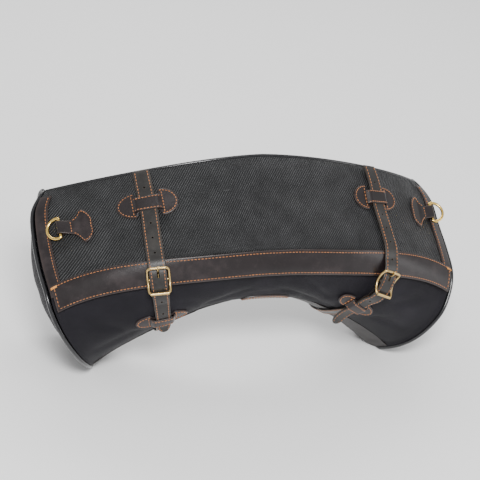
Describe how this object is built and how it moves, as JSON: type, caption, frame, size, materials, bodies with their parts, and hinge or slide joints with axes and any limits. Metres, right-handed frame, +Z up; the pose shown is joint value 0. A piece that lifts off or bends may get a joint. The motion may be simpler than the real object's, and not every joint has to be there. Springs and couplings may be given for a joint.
{
  "type": "pannier bag",
  "caption": "Curved roll-shaped nylon pannier bag with leather trim, a full-width front flap held by buckled straps through keepers, and D-rings on leather tabs at the ends.",
  "frame": {"origin": "middle of the bag's overall box, at the bottom of its two ends where it stands", "axes": "+X along the bag to the viewer's right when the flap is faced, +Z up, -Y out of the front"},
  "size_m": [0.592, 0.229, 0.3],
  "materials": {
    "body_nylon": "matt fine weave",
    "flap_nylon": "coated coarse weave",
    "dark_leather": "waxed",
    "strap_leather": "satin",
    "piping": "gloss",
    "bright_brass": "polished",
    "antique_brass": "antique"
  },
  "bodies": {
    "bag_body": {"front_panel": "body_nylon", "base_panel": "dark_leather", "back_panel": "body_nylon", "top_piping": "piping", "mouth_binding": "piping", "flap_hinge_strip": "flap_nylon", "belly_patch": "dark_leather", "end_cap_left": "body_nylon", "end_piping_left": "piping", "lower_strap_left": "strap_leather", "lower_keeper_base_left": "dark_leather", "lower_keeper_loop_left": "dark_leather", "end_cap_right": "body_nylon", "end_piping_right": "piping", "lower_strap_right": "strap_leather", "lower_keeper_base_right": "dark_leather", "lower_keeper_loop_right": "dark_leather"},
    "flap": {"flap_panel": "flap_nylon", "flap_hem_band": "dark_leather", "flap_end_strip_left": "dark_leather", "upper_keeper_base_left": "dark_leather", "upper_keeper_loop_left": "dark_leather", "d_ring_tab_left": "dark_leather", "strap_left": "strap_leather", "flap_end_strip_right": "dark_leather", "upper_keeper_base_right": "dark_leather", "upper_keeper_loop_right": "dark_leather", "d_ring_tab_right": "dark_leather", "strap_right": "strap_leather"},
    "buckle_left": {"buckle_frame_left": "antique_brass"},
    "tongue_left": {"buckle_tongue_left": "antique_brass"},
    "d_ring_left": {"d_ring_left": "bright_brass"},
    "buckle_right": {"buckle_frame_right": "antique_brass"},
    "tongue_right": {"buckle_tongue_right": "antique_brass"},
    "d_ring_right": {"d_ring_right": "bright_brass"}
  },
  "joints": [
    {"name": "flap_hinge", "type": "hinge", "parent": "bag_body", "child": "flap", "pos_m": [0, 0.08501, 0.2357], "axis": [-1, 0, 0], "range_deg": [0, 100], "deforming": ["strap_left", "strap_right", "flap_hem_band"]},
    {"name": "buckle_left_tilt", "type": "hinge", "parent": "bag_body", "child": "buckle_left", "pos_m": [-0.15649, -0.09351, 0.18734], "axis": [0.9615, -0.1848, 0.2036], "range_deg": [-20, 20], "deforming": ["strap_left"]},
    {"name": "tongue_left_swing", "type": "hinge", "parent": "buckle_left", "child": "tongue_left", "pos_m": [-0.15649, -0.09351, 0.18734], "axis": [0.9615, -0.1848, 0.2036], "range_deg": [0, 110], "deforming": ["strap_left"]},
    {"name": "d_ring_left_swing", "type": "hinge", "parent": "flap", "child": "d_ring_left", "pos_m": [-0.26364, 0.01844, 0.19583], "axis": [-0.0147, 0.881, 0.473], "range_deg": [0, 140]},
    {"name": "buckle_right_tilt", "type": "hinge", "parent": "bag_body", "child": "buckle_right", "pos_m": [0.16082, -0.09921, 0.16908], "axis": [0.9012, 0.0885, -0.4242], "range_deg": [-20, 20], "deforming": ["strap_right"]},
    {"name": "tongue_right_swing", "type": "hinge", "parent": "buckle_right", "child": "tongue_right", "pos_m": [0.16082, -0.09921, 0.16908], "axis": [0.9012, 0.0885, -0.4242], "range_deg": [0, 110], "deforming": ["strap_right"]},
    {"name": "d_ring_right_swing", "type": "hinge", "parent": "flap", "child": "d_ring_right", "pos_m": [0.27659, 0.03041, 0.19228], "axis": [-0.0037, -0.8657, -0.5005], "range_deg": [-30, 105]}
  ]
}
